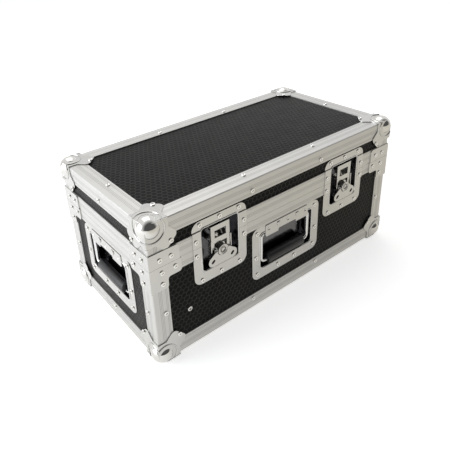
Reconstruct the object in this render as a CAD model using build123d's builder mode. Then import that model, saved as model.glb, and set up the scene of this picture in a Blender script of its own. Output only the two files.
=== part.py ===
from build123d import *
import os
from math import atan2, cos, degrees, hypot, radians, sin, tan

os.makedirs("parts", exist_ok=True)

# Case: outer size over the extrusions, without the ball corners
case_length = 540.0
case_depth = 274.0
base_height = 175.3
lid_height = 73.8
lid_gap = 0.3
ball_proud = 6.0

# Walls
panel_thickness = 7.0
sheet = 1.6
flange = 28.0
inner_flange = 22.0
edge_round = 2.0
base_rim_height = 19.2
lid_rim_height = 25.4
groove_block = 8.0
tongue_inset = 4.0
tongue_thickness = 2.0
tongue_height = 5.0
tongue_chamfer = 0.9
groove_outer_clearance = 1.0
groove_inner_clearance = 1.2
groove_top_clearance = 1.4

# Corner hardware
ball_radius = 16.4
ball_inset = 10.0
ring_radius = 21.5
ring_proud = 3.0
corner_plate = 1.5
leg_along_edge = 37.0
leg_shoulder = 13.0
leg_tip_far = 51.5
leg_tip_near = 29.5
leg_tip_round = 8.0
leg_rim_clearance = 0.6
leg_pad_reach = 46.0
brace_plate = 1.5
base_brace_reach = 52.7
base_brace_height = 22.0
base_brace_leg = 28.5
base_brace_drop = 40.3
brace_round = 5.0
lid_brace_reach = 50.7
brace_gap = 0.6

# Latches
latch_offset = 143.4
latch_centre_drop = 12.6
latch_width = 104.0
latch_height = 112.2
latch_corner = 14.0
latch_open_width = 73.4
latch_open_drop = 48.7
latch_open_rise = 29.9
latch_open_corner = 7.0
latch_depth = 13.0
dish_sheet = 1.2
crank_clearance = 0.3
cut_clearance = 0.4

spindle_drop = 19.7
shaft_radius = 4.0
running_fit = 0.05
cam_radius = 8.0
cam_offset = 3.75
cam_front = -0.4
cam_back = 5.0
head_radius = 9.3
head_front = -6.0
head_back = -4.7
hook_width = 36.0
hook_sheet = 2.0
hook_rise = 24.2
hook_web = 5.75
hook_draw_down = 7.5
hook_draw_in = 2.7
claw_thickness = 3.0
claw_reach = 2.7
claw_clearance = 0.3
cosine_allowance = 0.8
hook_window_width = 22.0
hook_window_rise = 2.2
hook_window_height = 13.0
peg_radius = 1.5
peg_inset = 3.0
peg_rise = 16.4
slot_clearance = 0.1
cheek_clearance = 0.3
cheek_sheet = 1.5
cheek_rise = 4.4
cheek_front = -1.6
peg_seat = 1.0
keeper_sheet = 1.2
keeper_shelf = 2.0
keeper_width = 28.0
keeper_rise = 6.0
wing_front = -4.5
wing_back = -3.0
wing_pin_radius = 1.0
wing_knuckle_radius = 1.8
wing_knuckle_length = 2.8
wing_lobe_radius = 9.0
wing_lobe_offset = 18.8
wing_lobe_drop = 15.0
wing_notch_clearance = 0.9
wing_hole_length = 8.0
wing_hole_width = 4.6
wing_hole_tilt = 40.0
lobe_slope = radians(55.0)

# Handles
handle_rim_gap = 0.6
handle_width = 158.0
handle_height = 102.0
handle_corner = 14.0
handle_open_width = 125.6
handle_open_drop = 32.9
handle_open_rise = 38.1
handle_open_corner = 8.0
handle_depth = 16.0
rod_radius = 3.5
rod_side_gap = 7.3
rod_bend = 8.0
rod_axis_depth = 5.5
rod_axis_drop = 5.6
rod_drop = 55.0
rod_end = 28.0
grip_radius = 8.5
grip_length = 78.0
cover_half_width = 50.0
cover_drop = 4.8
cover_rise = 17.0
cover_notch_half = 21.0
cover_notch_height = 5.0
cover_round = 3.0
lug_width = 7.0
lug_inner = 39.5
lug_half = 5.4
side_clearance = 0.3

# Rear hinges
hinge_offset = 150.0
hinge_width = 75.0
hinge_leaf = 1.4
hinge_pin_radius = 1.4
hinge_axis_out = 3.0
hinge_knuckles = 3
hinge_base_height = 17.0
hinge_lid_height = 22.0
hinge_side_gap = 0.3
hinge_leaf_clear = 3.4
hinge_corner = 4.0

# Levels and faces worked out from the sizes above
foot = ball_proud
parting = foot + base_height
lid_foot = parting + lid_gap
case_top = lid_foot + lid_height
front = -case_depth / 2
back = case_depth / 2
left = -case_length / 2
right = case_length / 2
slot = sheet + panel_thickness
notch = slot - sheet
inner_face = slot + sheet
lid_rim_top = lid_foot + lid_rim_height
base_rim_bottom = parting - base_rim_height
tongue_top = parting + tongue_height
tongue_inner = tongue_inset + tongue_thickness
latch_places = (-latch_offset, latch_offset)
latch_centre = parting - latch_centre_drop
latch_bottom = latch_centre - latch_height / 2
latch_top = latch_centre + latch_height / 2
latch_open_low = parting - latch_open_drop
latch_open_high = parting + latch_open_rise
latch_cut = latch_open_width + 2 * (dish_sheet + cut_clearance)
cheek_foot = latch_open_low + cheek_rise
spindle_z = parting - spindle_drop
cam_centre = spindle_z + cam_offset
cam_window_half = cam_radius + cosine_allowance + cheek_clearance
hook_foot = cam_centre - cam_window_half - hook_web
hook_top = parting + hook_rise
peg_levels = (hook_foot + peg_inset, spindle_z + peg_rise)
hook_draw = hypot(hook_draw_down, hook_draw_in)
draw_angle = degrees(atan2(-hook_draw_down, hook_draw_in))
peg_depth = hook_sheet / 2
wing_axis = (wing_front + wing_back) / 2
handle_top = base_rim_bottom - handle_rim_gap
handle_bottom = handle_top - handle_height
handle_middle = (handle_bottom + handle_top) / 2
handle_low = handle_middle - handle_open_drop
handle_high = handle_middle + handle_open_rise
rod_axis = handle_high - rod_axis_drop
rod_foot = rod_axis - rod_drop
rod_half_span = handle_open_width / 2 - rod_side_gap

# Wall planes: local x runs along the wall, local y is the height, the normal points outwards
front_face = Plane(origin=(0, front, 0), x_dir=(1, 0, 0), z_dir=(0, -1, 0))
left_face = Plane(origin=(left, 0, 0), x_dir=(0, -1, 0), z_dir=(-1, 0, 0))
right_face = Plane(origin=(right, 0, 0), x_dir=(0, 1, 0), z_dir=(1, 0, 0))
back_face = Plane(origin=(0, back, 0), x_dir=(-1, 0, 0), z_dir=(0, 1, 0))


def across(x, y=front):
    """A plane square to the case's length: local x is the depth behind y, local y the height."""
    return Plane(origin=(x, y, 0), x_dir=(0, 1, 0), z_dir=(1, 0, 0))


def span(low_x, high_x, low_y, high_y, mode=Mode.ADD):
    """A rectangle between two corners, in the sketch in hand."""
    with Locations(((low_x + high_x) / 2, (low_y + high_y) / 2)):
        Rectangle(high_x - low_x, high_y - low_y, mode=mode)


def slab(face, low_x, high_x, low_z, high_z, start, end, mode=Mode.ADD):
    """A block in the part in hand, from one depth behind a wall's face to another."""
    with BuildSketch(face.offset(-start)) as outline:
        span(low_x, high_x, low_z, high_z)
    extrude(outline.sketch, amount=start - end, mode=mode)


def rod(face, x, z, radius, start, end, mode=Mode.ADD):
    """A round bar square to a wall, in the part in hand."""
    with BuildSketch(face.offset(-start)) as outline:
        with Locations((x, z)):
            Circle(radius)
    extrude(outline.sketch, amount=start - end, mode=mode)


def round_window(face, width, low_z, high_z, corner, start, end, mode=Mode.ADD):
    """A block with rounded corners, centred on the plane's own middle line."""
    with BuildSketch(face.offset(-start)) as outline:
        with Locations((0, (low_z + high_z) / 2)):
            RectangleRounded(width, high_z - low_z, corner)
    extrude(outline.sketch, amount=start - end, mode=mode)


def save(shape, name):
    shape.label = name
    export_step(shape, f"parts/{name}.step")


def save_group(pieces, name):
    """Several separate pieces of one kind in one file."""
    save(Compound(label=name, children=list(pieces)), name)


def turned(piece, quarter_turns):
    return piece.rotate(Axis.Z, 90 * quarter_turns)


# Extrusion profiles, drawn with x as the depth behind the face
def angle_profile():
    """Double-angle edge: outer flanges, inner flanges, and a hollow chamber in the corner."""
    Polygon((0, 0), (flange, 0), (flange, sheet), (sheet, sheet), (sheet, flange), (0, flange), align=None)
    span(sheet, inner_flange, slot, inner_face)
    span(slot, inner_face, sheet, inner_flange)


def base_rim_profile():
    """Tongue extrusion over the top edge of the base's walls."""
    span(0, sheet, base_rim_bottom, parting)
    span(0, inner_face, parting - sheet, parting)
    span(slot, inner_face, parting - groove_block - sheet, parting)
    Polygon(
        (tongue_inset, parting),
        (tongue_inset, tongue_top - tongue_chamfer),
        (tongue_inset + tongue_chamfer, tongue_top),
        (tongue_inner - tongue_chamfer, tongue_top),
        (tongue_inner, tongue_top - tongue_chamfer),
        (tongue_inner, parting),
        align=None,
    )


def lid_rim_profile():
    """Groove extrusion under the lower edge of the lid's walls."""
    span(0, sheet, lid_foot, lid_rim_top)
    span(0, inner_face, lid_foot, lid_foot + groove_block)
    span(slot, inner_face, lid_foot, lid_foot + groove_block + sheet + panel_thickness)
    groove_low = tongue_inset - groove_outer_clearance
    groove_high = tongue_inner + groove_inner_clearance
    span(groove_low, groove_high, lid_foot - sheet, tongue_top + groove_top_clearance, Mode.SUBTRACT)


def mitred_bar(profile, length, width, level=None, hanging=False, cuts=()):
    """One side of a rectangular frame, along X on the front wall of a box length by width.
    With a level it has its outer corner there, and hanging turns it down. cuts are the
    places where the latches interrupt it."""
    wall = -width / 2
    side = 1 if hanging else -1
    start = Plane(origin=(side * length / 2, wall, level or 0), x_dir=(0, 1, 0), z_dir=(-side, 0, 0))
    with BuildPart() as bar:
        with BuildSketch(start):
            profile()
        extrude(amount=length)
        if level is not None:
            outer_edge = bar.edges().filter_by(Axis.X).sort_by_distance((0, wall, level))[0]
            fillet(outer_edge, edge_round)
        with BuildSketch():
            Polygon(
                (-length / 2, wall),
                (length / 2, wall),
                (length / 2 - flange, wall + flange),
                (flange - length / 2, wall + flange),
                align=None,
            )
        extrude(amount=2 * case_top, mode=Mode.INTERSECT)
        if level is not None:
            with Locations((-length / 2, wall, level), (length / 2, wall, level)):
                Box(2 * notch, 2 * notch, 2 * notch, mode=Mode.SUBTRACT)
        for place in cuts:
            with Locations((place, wall, parting)):
                Box(latch_cut, 4 * flange, 4 * flange, mode=Mode.SUBTRACT)
    return bar.part


def frame(profile, level=None, hanging=False, cuts=()):
    """The four mitred bars around the case."""
    front_bar = mitred_bar(profile, case_length, case_depth, level, hanging, cuts)
    long_bar = mitred_bar(profile, case_length, case_depth, level, hanging)
    short_bar = mitred_bar(profile, case_depth, case_length, level, hanging)
    return [*front_bar.solids(), turned(long_bar, 2), turned(short_bar, 1), turned(short_bar, 3)]


def uprights(low, high, name):
    """Four edge extrusions standing in the case's corners."""
    with BuildPart() as post:
        with BuildSketch(Plane(origin=(left, front, low))):
            angle_profile()
        extrude(amount=high - low)
        fillet(post.edges().filter_by(Axis.Z).sort_by_distance((left, front, low))[0], edge_round)
        mirror(about=Plane.YZ)
        mirror(about=Plane.XZ)
    save(post.part, name)


def wall_panel(name, face, length, low, high, latches=False, handle=False):
    """One plywood wall, held by its edges in the extrusions."""
    with BuildPart() as panel:
        slab(face, inner_face - length / 2, length / 2 - inner_face, low, high, sheet, slot)
        for place in latch_places if latches else ():
            here = face.shift_origin(face.from_local_coords((place, 0, 0)))
            cut_low = latch_open_low - dish_sheet - cut_clearance
            cut_high = latch_open_high + dish_sheet + cut_clearance
            slab(here, -latch_cut / 2, latch_cut / 2, cut_low, cut_high, 0, 2 * slot, Mode.SUBTRACT)
        if handle:
            more = dish_sheet + cut_clearance
            round_window(
                face,
                handle_open_width + 2 * more,
                handle_low - more,
                handle_high + more,
                handle_open_corner + more,
                0,
                2 * slot,
                Mode.SUBTRACT,
            )
    save(panel.part, name)


def flat_panel(name, low):
    """The bottom or the top board."""
    with BuildPart() as panel:
        with BuildSketch(Plane.XY.offset(low)):
            Rectangle(case_length - 2 * inner_face, case_depth - 2 * inner_face)
        extrude(amount=panel_thickness)
    save(panel.part, name)


def leg_outline(reach):
    """A ball corner's leg on one face: wide along both edges, with a rounded tongue on the
    diagonal, cut off at reach in the second direction."""
    Polygon(
        (-corner_plate, -corner_plate),
        (leg_along_edge, -corner_plate),
        (leg_along_edge, leg_shoulder),
        (leg_tip_far, leg_tip_near),
        (leg_tip_near, leg_tip_far),
        (leg_shoulder, leg_along_edge),
        (-corner_plate, leg_along_edge),
        align=None,
    )
    far = [v for v in vertices() if max(v.X, v.Y) > (leg_along_edge + leg_tip_far) / 2]
    fillet(far, leg_tip_round)
    with Locations((0, reach + leg_tip_far)):
        Rectangle(4 * leg_tip_far, 2 * leg_tip_far, mode=Mode.SUBTRACT)


def ball_corner(reach, flat_foot):
    """Ball, a raised shoulder on each face and three riveted legs over the case's lower
    front left corner. Two of the legs end at reach, in the direction of the height."""
    corner = (left, front, foot)
    # local x and y of each face run away from the corner, and outwards is the sign of the normal
    faces = (
        (Plane(origin=corner, x_dir=(1, 0, 0), z_dir=(0, -1, 0)), 1, reach),
        (Plane(origin=corner, x_dir=(0, 1, 0), z_dir=(1, 0, 0)), -1, reach),
        (Plane(origin=corner, x_dir=(1, 0, 0), z_dir=(0, 0, 1)), -1, leg_tip_far),
    )
    whole = 3 * leg_tip_far
    pad = flange + cut_clearance
    with BuildPart() as piece:
        for plane, outwards, leg_reach in faces:
            with BuildSketch(plane) as leg:
                leg_outline(leg_reach)
            extrude(leg.sketch, amount=outwards * corner_plate)
            with BuildSketch(plane) as ring:
                with Locations((ball_inset, ball_inset)):
                    Circle(ring_radius)
                span(-corner_plate, 2 * ring_radius, -corner_plate, 2 * ring_radius, Mode.INTERSECT)
            extrude(ring.sketch, amount=outwards * ring_proud)
        with Locations([(left + ball_inset, front + ball_inset, foot + ball_inset)]):
            Sphere(ball_radius)
        for shift in ((notch, 0, 0), (0, notch, 0), (0, 0, notch)):
            with Locations([(left + shift[0], front + shift[1], foot + shift[2])]):
                Box(whole, whole, whole, align=(Align.MIN, Align.MIN, Align.MIN), mode=Mode.SUBTRACT)
        for plane, outwards, leg_reach in faces:
            with BuildSketch(plane) as seat:
                Polygon((pad, pad), (leg_pad_reach, pad), (pad, leg_pad_reach), align=None)
            extrude(seat.sketch, amount=-outwards * sheet)
        if flat_foot:
            with Locations([(left, front, 0)]):
                Box(whole, whole, whole, align=(Align.CENTER, Align.CENTER, Align.MAX), mode=Mode.SUBTRACT)
    return piece.part


def corner_set(one, name, upside_down=False):
    """The same piece on all four corners of the base, or of the lid."""
    with BuildPart() as pieces:
        if upside_down:
            mirror(one, about=Plane.XY.offset((foot + case_top) / 2))
        else:
            add(one)
        mirror(about=Plane.YZ)
        mirror(about=Plane.XZ)
    save(pieces.part, name)


def brace(outline, rounded):
    """A folded corner brace on the front and the left wall. outline gives points as the
    distance from the corner and the height, rounded those that get a radius."""
    with BuildPart() as piece:
        for plane, outwards in (
            (Plane(origin=(left, front, 0), x_dir=(1, 0, 0), z_dir=(0, -1, 0)), 1),
            (Plane(origin=(left, front, 0), x_dir=(0, 1, 0), z_dir=(1, 0, 0)), -1),
        ):
            with BuildSketch(plane) as wing:
                Polygon(*outline, align=None)
                for point, radius in rounded:
                    fillet(vertices().sort_by_distance((point[0], point[1], 0))[0], radius)
            extrude(wing.sketch, amount=outwards * brace_plate)
    return piece.part


def mirrored(level, seam):
    """A level and its mirror image about the seam, the lower one first."""
    return sorted((level, 2 * seam - level))


def latch_dish(place, name, upper):
    """Half of a latch's dish: a flange stepped over the rim extrusion, and a recess that is
    open at the parting line. It is made whole about the seam, and the other half cut away."""
    here = Plane(origin=(place, front, 0), x_dir=(1, 0, 0), z_dir=(0, -1, 0))
    if upper:
        seam = lid_foot
        end = latch_top
        crank = lid_rim_top + crank_clearance
        floor_end = latch_open_high
        wall_end = floor_end + dish_sheet
        step_end = crank + dish_sheet
        beyond = (seam - latch_height, seam)
    else:
        seam = parting
        end = latch_bottom
        crank = base_rim_bottom - crank_clearance
        floor_end = latch_open_low
        wall_end = floor_end - dish_sheet
        step_end = crank - dish_sheet
        beyond = (seam, seam + latch_height)
    half = latch_width / 2
    wall = latch_open_width / 2 + dish_sheet
    flange_seat = sheet - dish_sheet
    outer_corner = latch_open_corner + dish_sheet
    recess_back = latch_depth + dish_sheet
    well_shape = (latch_open_width, *mirrored(floor_end, seam), latch_open_corner)
    clear_front = -2 * sheet
    with BuildPart() as dish:
        round_window(here, latch_width, *mirrored(end, seam), latch_corner, flange_seat, sheet)
        slab(here, -half, half, *sorted((seam, step_end)), -dish_sheet, sheet)
        slab(here, -half, half, *sorted((seam, crank)), 0, sheet, Mode.SUBTRACT)
        slab(here, -wall, wall, *sorted((seam, crank)), -dish_sheet, sheet)
        round_window(here, 2 * wall, *mirrored(wall_end, seam), outer_corner, flange_seat, recess_back)
        round_window(here, *well_shape, clear_front, latch_depth, Mode.SUBTRACT)
        slab(here, -latch_width, latch_width, *beyond, clear_front, 2 * latch_depth, Mode.SUBTRACT)
    save(dish.part, name)


def latch_base_plate(place):
    """Floor plate with the spindle's bearing and two cheeks, whose slanted slots guide the hook."""
    here = Plane(origin=(place, front, 0), x_dir=(1, 0, 0), z_dir=(0, -1, 0))
    inner = hook_width / 2 + cheek_clearance
    outer = inner + cheek_sheet
    cheek_top = parting - cheek_clearance
    plate_front = latch_depth - cheek_sheet
    with BuildPart() as plate:
        slab(here, -outer, outer, cheek_foot, cheek_top, plate_front, latch_depth)
        for side in (-1, 1):
            low, high = sorted((side * inner, side * outer))
            slab(here, low, high, cheek_foot, cheek_top, cheek_front, latch_depth)
        for level in peg_levels:
            with BuildSketch(across(place)) as path:
                with Locations((peg_depth + hook_draw_in / 2, level - hook_draw_down / 2)):
                    SlotCenterToCenter(hook_draw, 2 * (peg_radius + slot_clearance), rotation=draw_angle)
            extrude(path.sketch, amount=2 * outer, both=True, mode=Mode.SUBTRACT)
        rod(here, 0, spindle_z, shaft_radius + running_fit, 0, latch_depth, Mode.SUBTRACT)
    return plate.part


def latch_spindle(place, name):
    """Round head, shaft, and the eccentric disc that lifts and draws the hook."""
    here = Plane(origin=(place, front, 0), x_dir=(1, 0, 0), z_dir=(0, -1, 0))
    with BuildPart() as spindle:
        rod(here, 0, spindle_z, head_radius, head_front, head_back)
        rod(here, 0, spindle_z, shaft_radius, head_back, latch_depth - running_fit)
        rod(here, 0, cam_centre, cam_radius, cam_front, cam_back)
        with BuildSketch(across(place)) as pin_hole:
            with Locations((wing_axis, spindle_z)):
                Circle(wing_pin_radius + running_fit)
        extrude(pin_hole.sketch, amount=head_radius, both=True, mode=Mode.SUBTRACT)
    save(spindle.part, name)


def latch_hook(place, name):
    """Flat hook: a window round the eccentric disc, a second window, a claw bent inwards at
    the top, and four guide pegs at the sides. It stands here raised and swung outwards."""
    here = Plane(origin=(place, front, 0), x_dir=(1, 0, 0), z_dir=(0, -1, 0))
    half = hook_width / 2
    cam_half = cam_radius + cam_offset + cheek_clearance
    cam_window = (cam_centre - cam_window_half, cam_centre + cam_window_half)
    window_low = parting + hook_window_rise
    window = (window_low, window_low + hook_window_height)
    window_half = hook_window_width / 2
    with BuildPart() as hook:
        slab(here, -half, half, hook_foot, hook_top, 0, hook_sheet)
        slab(here, -half, half, hook_top - claw_thickness, hook_top, 0, hook_sheet + claw_reach)
        slab(here, -cam_half, cam_half, *cam_window, 0, hook_sheet, Mode.SUBTRACT)
        slab(here, -window_half, window_half, *window, 0, hook_sheet, Mode.SUBTRACT)
        for side in (-1, 1):
            with BuildSketch(across(place + side * (half - peg_seat))) as pegs:
                with Locations(*((peg_depth, level) for level in peg_levels)):
                    Circle(peg_radius)
            extrude(pegs.sketch, amount=side * (peg_seat + cheek_clearance + cheek_sheet))
    save(hook.part, name)


def latch_keeper(place):
    """The lid's catch: a plate on the recess floor with a shelf, under which the drawn claw
    would pull, and a rib at each side."""
    here = Plane(origin=(place, front, 0), x_dir=(1, 0, 0), z_dir=(0, -1, 0))
    half = keeper_width / 2
    plate_front = latch_depth - keeper_sheet
    shelf_front = hook_sheet + claw_reach + claw_clearance
    shelf_top = hook_top - claw_thickness - hook_draw_down - claw_clearance
    shelf_foot = shelf_top - keeper_shelf
    plate_foot = lid_foot + cheek_clearance
    with BuildPart() as keeper:
        slab(here, -half, half, plate_foot, shelf_top + keeper_rise, plate_front, latch_depth)
        slab(here, -half, half, shelf_foot, shelf_top, shelf_front, latch_depth)
        for edge in (-half, half - keeper_sheet):
            with BuildSketch(across(place + edge)) as rib:
                Polygon(
                    (shelf_front, shelf_foot),
                    (latch_depth, shelf_foot),
                    (latch_depth, plate_foot),
                    align=None,
                )
            extrude(rib.sketch, amount=keeper_sheet)
    return keeper.part


def latch_wing(place, name):
    """Folding key plate: two rounded lobes with finger holes, a notch round the spindle's
    head, and two knuckles on the pin."""
    here = Plane(origin=(place, front, 0), x_dir=(1, 0, 0), z_dir=(0, -1, 0))
    lobe_z = spindle_z - wing_lobe_drop
    lobes = ((-wing_lobe_offset, lobe_z), (wing_lobe_offset, lobe_z))
    shoulder = head_radius + wing_notch_clearance
    tangent_x = wing_lobe_offset + wing_lobe_radius * cos(lobe_slope)
    tangent_z = lobe_z + wing_lobe_radius * sin(lobe_slope)
    with BuildPart() as wing:
        with BuildSketch(here.offset(-wing_front)) as plate:
            with Locations(*lobes):
                Circle(wing_lobe_radius)
            Polygon(
                (-wing_lobe_offset, lobe_z - wing_lobe_radius),
                (wing_lobe_offset, lobe_z - wing_lobe_radius),
                (tangent_x, tangent_z),
                (shoulder + wing_knuckle_length, spindle_z),
                (-shoulder - wing_knuckle_length, spindle_z),
                (-tangent_x, tangent_z),
                align=None,
            )
            with Locations((0, spindle_z)):
                Circle(shoulder, mode=Mode.SUBTRACT)
            with Locations(*lobes):
                SlotOverall(wing_hole_length, wing_hole_width, rotation=wing_hole_tilt, mode=Mode.SUBTRACT)
        extrude(plate.sketch, amount=wing_front - wing_back)
        for side in (-1, 1):
            low, high = sorted((side * shoulder, side * (shoulder + wing_knuckle_length)))
            with BuildSketch(across(place + low)) as knuckle:
                with Locations((wing_axis, spindle_z)):
                    Circle(wing_knuckle_radius)
            extrude(knuckle.sketch, amount=high - low)
        with BuildSketch(across(place)) as bore:
            with Locations((wing_axis, spindle_z)):
                Circle(wing_pin_radius + running_fit)
        extrude(bore.sketch, amount=2 * shoulder, both=True, mode=Mode.SUBTRACT)
    save(wing.part, name)


def latch_wing_pin(place, name):
    """The pin through the spindle that the key plate folds on."""
    length = head_radius + wing_notch_clearance + wing_knuckle_length
    with BuildPart() as pin:
        with BuildSketch(across(place)):
            with Locations((wing_axis, spindle_z)):
                Circle(wing_pin_radius)
        extrude(amount=length, both=True)
    save(pin.part, name)


def handle_dish(face, name):
    """Recessed dish: a flat riveted flange and a well for the hand."""
    flange_seat = sheet - dish_sheet
    well_wide = handle_open_width + 2 * dish_sheet
    well = (handle_low - dish_sheet, handle_high + dish_sheet)
    well_corner = handle_open_corner + dish_sheet
    inside = (handle_open_width, handle_low, handle_high, handle_open_corner)
    with BuildPart() as dish:
        round_window(face, handle_width, handle_bottom, handle_top, handle_corner, flange_seat, sheet)
        round_window(face, well_wide, *well, well_corner, flange_seat, handle_depth + dish_sheet)
        round_window(face, *inside, 0, handle_depth, Mode.SUBTRACT)
    save(dish.part, name)


def handle_cover(face):
    """Stamped plate over the handle's hinge, with two lugs that carry the rod's ends."""
    half = cover_half_width
    notch_half = cover_notch_half
    low = rod_axis - cover_drop
    high = rod_axis + cover_rise
    notch_top = low + cover_notch_height
    seat = sheet - dish_sheet
    lug_low = rod_axis - lug_half
    lug_high = handle_high - side_clearance
    lug_outer = lug_inner + lug_width
    axis_origin = face.from_local_coords((0, rod_axis, -rod_axis_depth))
    with BuildPart() as cover:
        round_window(face, 2 * half, low, high, cover_round, seat - dish_sheet, seat)
        slab(face, -notch_half, notch_half, low, notch_top, -sheet, sheet, Mode.SUBTRACT)
        for side in (-1, 1):
            near, far = sorted((side * lug_inner, side * lug_outer))
            slab(face, near, far, lug_low, lug_high, seat, rod_axis_depth + lug_half)
        with BuildSketch(Plane(origin=axis_origin, x_dir=face.z_dir, z_dir=face.x_dir)) as bore:
            Circle(rod_radius + running_fit)
        extrude(bore.sketch, amount=2 * half, both=True, mode=Mode.SUBTRACT)
    return cover.part


def handle_rod(face, name):
    """The bent steel bar: two ends in the hinge, two arms, and the bar through the grip. Each
    bend is two mitres, which keep its radius."""
    cut = rod_bend * (1 - tan(radians(90 / 4)))
    with BuildPart() as bail:
        with BuildLine(face.offset(-rod_axis_depth)) as path:
            Polyline(
                (-rod_end, rod_axis),
                (cut - rod_half_span, rod_axis),
                (-rod_half_span, rod_axis - cut),
                (-rod_half_span, rod_foot + cut),
                (cut - rod_half_span, rod_foot),
                (rod_half_span - cut, rod_foot),
                (rod_half_span, rod_foot + cut),
                (rod_half_span, rod_axis - cut),
                (rod_half_span - cut, rod_axis),
                (rod_end, rod_axis),
            )
        with BuildSketch(Plane(origin=path.line @ 0, z_dir=path.line % 0)):
            Circle(rod_radius)
        sweep(transition=Transition.RIGHT)
    save(bail.part, name)


def handle_grip(face, name):
    """Moulded sleeve on the rod's lower bar."""
    centre = face.from_local_coords((0, rod_foot, -rod_axis_depth))
    with BuildPart() as grip:
        with BuildSketch(Plane(origin=centre, x_dir=face.z_dir, z_dir=face.x_dir)):
            Circle(grip_radius)
        extrude(amount=grip_length / 2, both=True)
        with BuildSketch(Plane(origin=centre, x_dir=face.z_dir, z_dir=face.x_dir)):
            Circle(rod_radius + running_fit)
        extrude(amount=grip_length, both=True, mode=Mode.SUBTRACT)
    save(grip.part, name)


def hinge_leaf_part(place, upper):
    """One riveted hinge leaf on the back of a rim extrusion, with its share of the knuckles."""
    step = hinge_width / hinge_knuckles
    axis_z = parting + lid_gap / 2
    out = 1 if upper else -1
    tip = axis_z + out * (hinge_lid_height if upper else hinge_base_height)
    near = axis_z + out * hinge_leaf_clear
    face = Plane(origin=(place, back, 0), x_dir=(1, 0, 0), z_dir=(0, -1, 0))
    start = -hinge_width / 2
    mine = [k for k in range(hinge_knuckles) if (k % 2 == 1) == upper]
    with BuildPart() as leaf:
        with BuildSketch(face) as plate:
            span(start, -start, *sorted((near, tip)))
            tips = vertices().group_by(Axis.Y)[-1 if upper else 0]
            fillet(tips, hinge_corner)
        extrude(plate.sketch, amount=-hinge_leaf)
        for k in mine:
            low = start + k * step + hinge_side_gap / 2
            high = low + step - hinge_side_gap
            slab(face, low, high, *sorted((axis_z + out * lid_gap, near)), 0, hinge_leaf)
            with BuildSketch(across(place + low, back)) as knuckle:
                with Locations((hinge_axis_out, axis_z)):
                    Circle(hinge_pin_radius + hinge_leaf)
            extrude(knuckle.sketch, amount=high - low)
        with BuildSketch(across(place, back)) as bore:
            with Locations((hinge_axis_out, axis_z)):
                Circle(hinge_pin_radius + running_fit)
        extrude(bore.sketch, amount=hinge_width, both=True, mode=Mode.SUBTRACT)
    return leaf.part


def hinge_pin(place):
    with BuildPart() as pin:
        with BuildSketch(across(place, back)):
            with Locations((hinge_axis_out, parting + lid_gap / 2)):
                Circle(hinge_pin_radius)
        extrude(amount=hinge_width / 2, both=True)
    return pin.part


# Walls
wall_low = foot + inner_face
base_wall_high = parting - sheet
lid_wall_low = lid_foot + groove_block
lid_wall_high = case_top - inner_face
for side_name, face, length in (
    ("front", front_face, case_length),
    ("back", back_face, case_length),
    ("left", left_face, case_depth),
    ("right", right_face, case_depth),
):
    latches = side_name == "front"
    handle = side_name != "back"
    wall_panel(f"base_{side_name}_panel", face, length, wall_low, base_wall_high, latches, handle)
    wall_panel(f"lid_{side_name}_panel", face, length, lid_wall_low, lid_wall_high, latches)
flat_panel("base_bottom_panel", foot + sheet)
flat_panel("lid_top_panel", case_top - slot)

# Extrusions
save_group(frame(angle_profile, foot), "base_bottom_edges")
save_group(frame(angle_profile, case_top, True), "lid_top_edges")
save_group(frame(base_rim_profile, cuts=latch_places), "base_rim")
save_group(frame(lid_rim_profile, cuts=latch_places), "lid_rim")
uprights(foot + flange, base_rim_bottom, "base_uprights")
uprights(lid_rim_top, case_top - flange, "lid_uprights")

# Corner hardware
base_leg_reach = leg_tip_far
lid_leg_reach = case_top - lid_rim_top - leg_rim_clearance
corner_set(ball_corner(base_leg_reach, True), "base_ball_corners")
corner_set(ball_corner(lid_leg_reach, False), "lid_ball_corners", upside_down=True)
base_brace_points = (
    (-brace_plate, parting),
    (base_brace_reach, parting),
    (base_brace_reach, parting - base_brace_height),
    (base_brace_leg, parting - base_brace_height),
    (base_brace_leg, parting - base_brace_drop),
    (-brace_plate, parting - base_brace_drop),
)
lid_brace_top = lid_rim_top - brace_gap
lid_brace_points = (
    (-brace_plate, lid_foot),
    (lid_brace_reach, lid_foot),
    (lid_brace_reach, lid_brace_top),
    (-brace_plate, lid_brace_top),
)
corner_set(brace(base_brace_points, [(p, brace_round) for p in base_brace_points[2:5]]), "base_braces")
corner_set(brace(lid_brace_points, [(lid_brace_points[2], brace_round)]), "lid_braces")

# Latches
for side_name, place in zip(("left", "right"), latch_places):
    latch_dish(place, f"latch_{side_name}_lower_dish", False)
    latch_dish(place, f"latch_{side_name}_upper_dish", True)
    latch_hook(place, f"latch_{side_name}_hook")
    latch_spindle(place, f"latch_{side_name}_spindle")
    latch_wing(place, f"latch_{side_name}_wing")
    latch_wing_pin(place, f"latch_{side_name}_wing_pin")
save_group([latch_base_plate(place) for place in latch_places], "latch_base_plates")
save_group([latch_keeper(place) for place in latch_places], "latch_keepers")

# Handles
handle_faces = {"front": front_face, "left": left_face, "right": right_face}
for side_name, face in handle_faces.items():
    handle_dish(face, f"handle_{side_name}_dish")
    handle_rod(face, f"handle_{side_name}_rod")
    handle_grip(face, f"handle_{side_name}_grip")
save_group([handle_cover(face) for face in handle_faces.values()], "handle_covers")

# Rear hinges
hinge_places = (-hinge_offset, hinge_offset)
save_group([hinge_leaf_part(place, False) for place in hinge_places], "hinge_base_leaves")
save_group([hinge_leaf_part(place, True) for place in hinge_places], "hinge_lid_leaves")
save_group([hinge_pin(place) for place in hinge_places], "hinge_pins")
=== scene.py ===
from math import hypot, radians

import bpy
from mathutils import Matrix, Vector


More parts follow.
